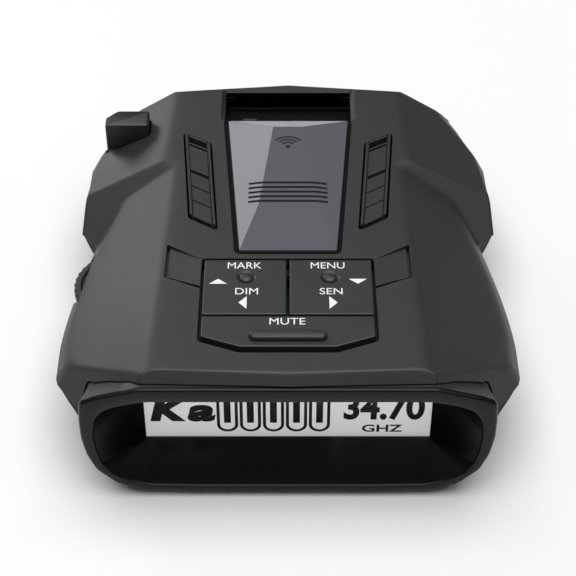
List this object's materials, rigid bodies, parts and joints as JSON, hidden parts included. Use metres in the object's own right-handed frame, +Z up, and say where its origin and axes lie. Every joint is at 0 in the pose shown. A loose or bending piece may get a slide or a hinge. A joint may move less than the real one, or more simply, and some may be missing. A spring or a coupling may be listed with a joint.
{
  "type": "radar detector",
  "caption": "Windscreen radar detector with a faceted black case, hooded display, press keys, side volume wheel and a top bracket slot with its release latch.",
  "frame": {"origin": "centre of the case's footprint, on the plane of its underside", "axes": "+Z up, +Y towards the nose and the road ahead, -Y towards the driver and the display, +X to the right seen from the display end"},
  "size_m": [0.08, 0.094, 0.0296],
  "materials": {
    "case_black": "fine-grained matt moulded case plastic",
    "hood_black": "satin black hood plastic",
    "key_black": "fine-grained matt key plastic with pale printed legends",
    "window_gloss": "smoked gloss plastic",
    "lens_clear": "clear cover lens",
    "display_glass": "pale liquid crystal glass with dark segments",
    "light_guide": "milky light guide",
    "inner_plastic": "plain black inner moulding",
    "board_green": "green solder mask",
    "chip_black": "moulded chip package",
    "tin_sheet": "tinned sheet",
    "steel": "plated steel",
    "spring_steel": "drawn spring wire",
    "horn_metal": "die-cast alloy",
    "capacitor_sleeve": "dark sleeve",
    "magnet_grey": "ferrite",
    "cone_paper": "coated speaker cone",
    "wheel_black": "satin fluted plastic",
    "nose_filter": "dark infrared filter plastic",
    "lens_red": "deep red infrared lens",
    "socket_black": "socket body plastic",
    "label_silver": "blank printed foil"
  },
  "bodies": {
    "case": {"top_cover": "case_black", "bottom_cover": "case_black", "display_bezel": "hood_black", "display_lens": "lens_clear", "lcd_panel": "display_glass", "lcd_backlight": "light_guide", "lcd_holder": "inner_plastic", "keypad_frame": "inner_plastic", "top_window": "window_gloss", "left_vent": "case_black", "right_vent": "case_black", "release_spring": "spring_steel", "volume_control": "tin_sheet", "main_board": "board_green", "shield_can": "tin_sheet", "processor": "chip_black", "ribbon_socket": "inner_plastic", "capacitors": "capacitor_sleeve", "key_board": "board_green", "mark_switch": "tin_sheet", "menu_switch": "tin_sheet", "mute_switch": "tin_sheet", "speaker_basket": "steel", "speaker_magnet": "magnet_grey", "speaker_cone": "cone_paper", "horn_antenna": "horn_metal", "antenna_module": "horn_metal", "laser_module": "socket_black", "laser_lens": "lens_red", "nose_window": "nose_filter", "power_socket": "socket_black", "audio_socket": "socket_black", "data_socket": "tin_sheet", "case_screws": "steel", "board_screws": "steel", "rating_label": "label_silver"},
    "mark": {"mark_key": "key_black", "mark_plunger": "chip_black"},
    "menu": {"menu_key": "key_black", "menu_plunger": "chip_black"},
    "mute": {"mute_key": "key_black", "mute_plunger": "chip_black"},
    "latch": {"release_button": "key_black", "mount_latch": "inner_plastic"},
    "wheel": {"volume_wheel": "wheel_black", "volume_shaft": "steel"}
  },
  "joints": [
    {"name": "mark_press", "type": "hinge", "parent": "case", "child": "mark", "pos_m": [-0.0074, -0.01712, 0.02758], "axis": [1, 0, 0], "range_deg": [0, 2.2], "stiffness_Nm_per_rad": 0.05},
    {"name": "menu_press", "type": "hinge", "parent": "case", "child": "menu", "pos_m": [0.0074, -0.01712, 0.02758], "axis": [1, 0, 0], "range_deg": [0, 2.2], "stiffness_Nm_per_rad": 0.05},
    {"name": "mute_press", "type": "slide", "parent": "case", "child": "mute", "axis": [0, -0.0354, -0.9994], "range_m": [0, 0.0006], "stiffness_N_per_m": 300},
    {"name": "latch_press", "type": "slide", "parent": "case", "child": "latch", "axis": [0, 0, -1], "range_m": [0, 0.0014], "stiffness_N_per_m": 500, "deforming": ["release_spring"]},
    {"name": "volume_turn", "type": "hinge", "parent": "case", "child": "wheel", "pos_m": [-0.0302, -0.0121, 0.0165], "axis": [0, 0, 1], "range_deg": [0, 270]}
  ]
}
